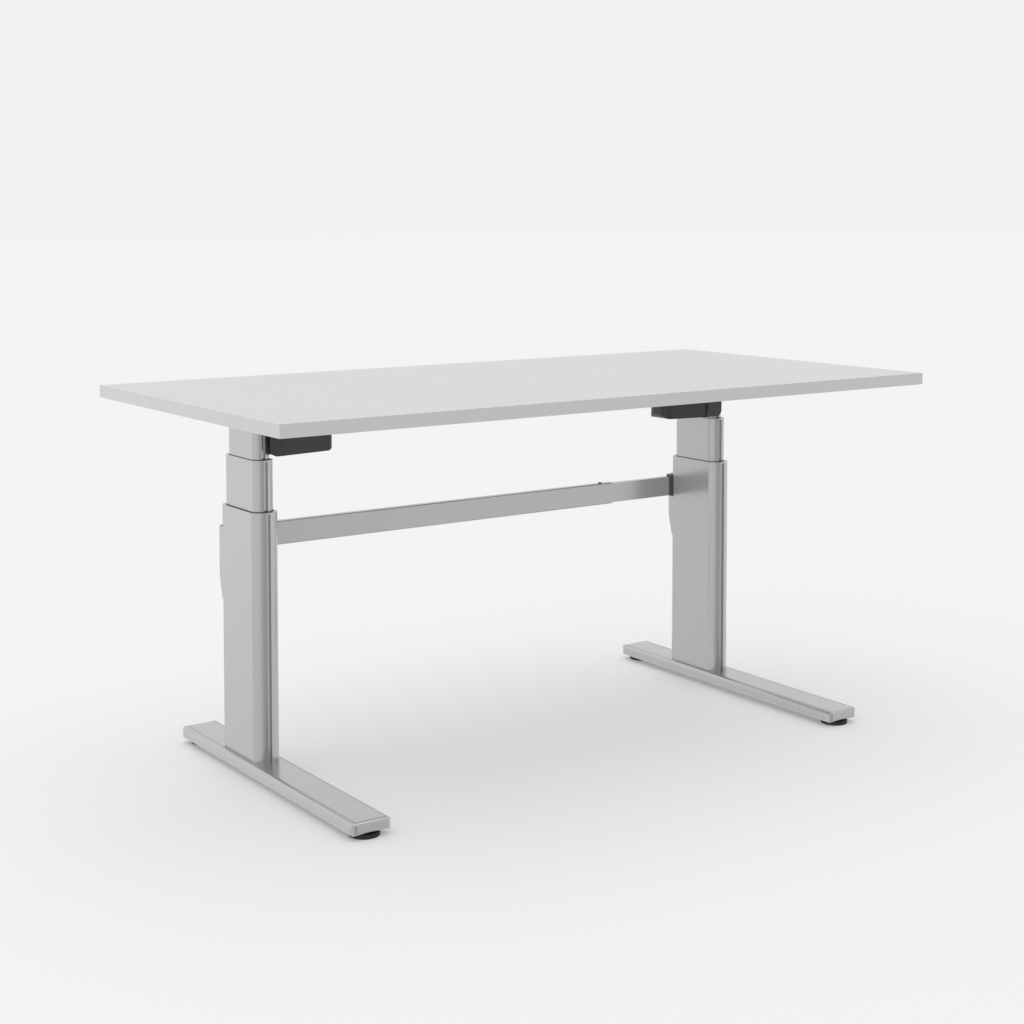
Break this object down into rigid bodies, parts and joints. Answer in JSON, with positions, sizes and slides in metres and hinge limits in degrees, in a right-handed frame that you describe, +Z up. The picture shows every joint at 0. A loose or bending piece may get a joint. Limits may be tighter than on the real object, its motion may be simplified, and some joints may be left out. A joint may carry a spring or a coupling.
{
  "type": "height adjustable standing desk",
  "caption": "Rectangular desk on two telescoping lifting columns with long flat feet, a crossbar and motors under the top; the top rises and sinks.",
  "frame": {"origin": "on the floor, under the middle of the desktop", "axes": "+X to the user's right along the desktop's width, +Y away from the user, +Z up"},
  "size_m": [1.6, 0.8, 0.77],
  "materials": {
    "white_board": "smooth matt white laminate on a wood board",
    "white_band": "matt white plastic edge band",
    "silver_paint": "satin silver powder coat",
    "steel": "plain machined steel",
    "black_steel": "satin black powder coat",
    "cast_alloy": "as-cast light alloy",
    "motor_black": "satin black",
    "dark_cover": "fine-grained dark grey plastic",
    "black_plastic": "black plastic",
    "liner_plastic": "dark grey plastic glide liners",
    "button_plastic": "light grey plastic",
    "circuit_board": "green board",
    "brass": "machined brass"
  },
  "bodies": {
    "base": {"left_foot": "silver_paint", "right_foot": "silver_paint", "foot_end_caps": "silver_paint", "glide_inserts": "steel", "left_outer_tube": "silver_paint", "right_outer_tube": "silver_paint", "outer_collars": "silver_paint", "outer_guides": "liner_plastic", "left_column_base": "steel", "right_column_base": "steel", "left_lower_pillar": "steel", "right_lower_pillar": "steel", "lower_nuts": "brass", "crossbar_outer": "silver_paint", "crossbar_inner": "silver_paint", "crossbar_ends": "black_steel", "left_crossbar_bracket": "silver_paint", "right_crossbar_bracket": "silver_paint", "crossbar_screws": "black_steel", "column_base_screws": "steel", "column_side_screws": "steel"},
    "left_middle": {"left_middle_tube": "silver_paint", "left_middle_collar": "silver_paint", "left_middle_guides": "liner_plastic", "left_spindle_carrier": "steel", "left_upper_nut": "brass"},
    "left_hollow": {"left_hollow_spindle": "steel"},
    "left_drive": {"left_drive_spindle": "steel"},
    "left_worm": {"left_worm_shaft": "steel"},
    "left_front_glide": {"left_front_glide": "black_plastic"},
    "left_rear_glide": {"left_rear_glide": "black_plastic"},
    "right_middle": {"right_middle_tube": "silver_paint", "right_middle_collar": "silver_paint", "right_middle_guides": "liner_plastic", "right_spindle_carrier": "steel", "right_upper_nut": "brass"},
    "right_hollow": {"right_hollow_spindle": "steel"},
    "right_drive": {"right_drive_spindle": "steel"},
    "right_worm": {"right_worm_shaft": "steel"},
    "right_front_glide": {"right_front_glide": "black_plastic"},
    "right_rear_glide": {"right_rear_glide": "black_plastic"},
    "up_button": {"up_button": "button_plastic"},
    "down_button": {"down_button": "button_plastic"},
    "top": {"left_inner_tube": "silver_paint", "right_inner_tube": "silver_paint", "inner_guides": "liner_plastic", "left_gearbox": "cast_alloy", "right_gearbox": "cast_alloy", "left_motor": "motor_black", "right_motor": "motor_black", "left_motor_cover": "dark_cover", "right_motor_cover": "dark_cover", "left_top_bracket": "black_steel", "right_top_bracket": "black_steel", "top_screws": "steel", "control_box": "black_plastic", "control_board": "circuit_board", "handset": "black_plastic", "desktop": "white_board", "edge_band": "white_band"}
  },
  "joints": [
    {"name": "lift", "type": "slide", "parent": "base", "child": "top", "axis": [0, 0, 1], "range_m": [-0.1, 0.5]},
    {"name": "left_middle_lift", "type": "slide", "parent": "base", "child": "left_middle", "axis": [0, 0, 1], "range_m": [-0.05, 0.25]},
    {"name": "left_hollow_turn", "type": "hinge", "parent": "left_middle", "child": "left_hollow", "pos_m": [-0.6, 0.117, 0.344], "axis": [0, 0, 1], "continuous": true},
    {"name": "left_drive_turn", "type": "hinge", "parent": "top", "child": "left_drive", "pos_m": [-0.6, 0.117, 0.717], "axis": [0, 0, 1], "continuous": true},
    {"name": "left_worm_turn", "type": "hinge", "parent": "top", "child": "left_worm", "pos_m": [-0.6, 0.088, 0.717], "axis": [1, 0, 0], "continuous": true},
    {"name": "left_front_level", "type": "slide", "parent": "base", "child": "left_front_glide", "axis": [0, 0, -1], "range_m": [0, 0.01]},
    {"name": "left_rear_level", "type": "slide", "parent": "base", "child": "left_rear_glide", "axis": [0, 0, -1], "range_m": [0, 0.01]},
    {"name": "right_middle_lift", "type": "slide", "parent": "base", "child": "right_middle", "axis": [0, 0, 1], "range_m": [-0.05, 0.25]},
    {"name": "right_hollow_turn", "type": "hinge", "parent": "right_middle", "child": "right_hollow", "pos_m": [0.6, 0.117, 0.344], "axis": [0, 0, 1], "continuous": true},
    {"name": "right_drive_turn", "type": "hinge", "parent": "top", "child": "right_drive", "pos_m": [0.6, 0.117, 0.717], "axis": [0, 0, 1], "continuous": true},
    {"name": "right_worm_turn", "type": "hinge", "parent": "top", "child": "right_worm", "pos_m": [0.6, 0.088, 0.717], "axis": [1, 0, 0], "continuous": true},
    {"name": "right_front_level", "type": "slide", "parent": "base", "child": "right_front_glide", "axis": [0, 0, -1], "range_m": [0, 0.01]},
    {"name": "right_rear_level", "type": "slide", "parent": "base", "child": "right_rear_glide", "axis": [0, 0, -1], "range_m": [0, 0.01]},
    {"name": "up_press", "type": "slide", "parent": "top", "child": "up_button", "axis": [0, 1, 0], "range_m": [0, 0.001], "stiffness_N_per_m": 1500, "springref_m": -0.001},
    {"name": "down_press", "type": "slide", "parent": "top", "child": "down_button", "axis": [0, 1, 0], "range_m": [0, 0.001], "stiffness_N_per_m": 1500, "springref_m": -0.001}
  ],
  "couplings": [
    {"joint": "left_middle_lift", "follows": "lift", "ratio": 0.5},
    {"joint": "left_hollow_turn", "follows": "lift", "rad_per_m": 261.8},
    {"joint": "left_drive_turn", "follows": "lift", "rad_per_m": 261.8},
    {"joint": "left_worm_turn", "follows": "lift", "rad_per_m": 3927},
    {"joint": "right_middle_lift", "follows": "lift", "ratio": 0.5},
    {"joint": "right_hollow_turn", "follows": "lift", "rad_per_m": 261.8},
    {"joint": "right_drive_turn", "follows": "lift", "rad_per_m": 261.8},
    {"joint": "right_worm_turn", "follows": "lift", "rad_per_m": 3927}
  ]
}
